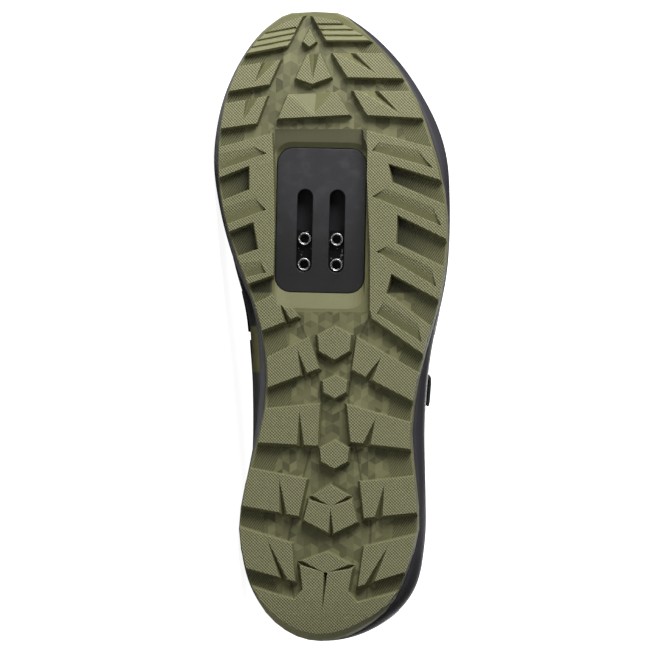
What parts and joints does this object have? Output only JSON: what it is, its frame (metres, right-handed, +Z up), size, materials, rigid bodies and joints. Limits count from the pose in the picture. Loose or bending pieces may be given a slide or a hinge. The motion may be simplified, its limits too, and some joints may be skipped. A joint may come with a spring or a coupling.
{
  "type": "cycling shoe",
  "caption": "Left off-road cycling shoe lying on its inner side, with olive rubber lugs, a slotted plate for a two-bolt cleat, and hook-and-loop straps.",
  "frame": {"origin": "centre of the bounding box, on the floor", "axes": "+X from the toe towards the heel, +Y from the tread towards the collar, +Z up from the floor, towards the outer side of the foot"},
  "size_m": [0.2752, 0.1206, 0.102],
  "materials": {
    "olive_rubber": "matte",
    "charcoal_foam": "satin",
    "black_nylon": "satin",
    "steel": "brushed",
    "black_synthetic": "satin",
    "guard_film": "satin",
    "padded_mesh": "matte",
    "webbing": "matte",
    "tab_rubber": "matte",
    "footbed_cloth": "matte"
  },
  "bodies": {
    "root": {"outsole": "olive_rubber", "cleat_plate": "black_nylon", "nut_plate": "steel", "midsole": "charcoal_foam", "insole": "footbed_cloth", "upper": "black_synthetic", "toe_guard": "guard_film", "heel_counter": "guard_film", "tongue": "padded_mesh", "strap_front": "webbing", "strap_middle": "webbing", "strap_instep": "webbing", "strap_tab": "tab_rubber"}
  },
  "joints": []
}
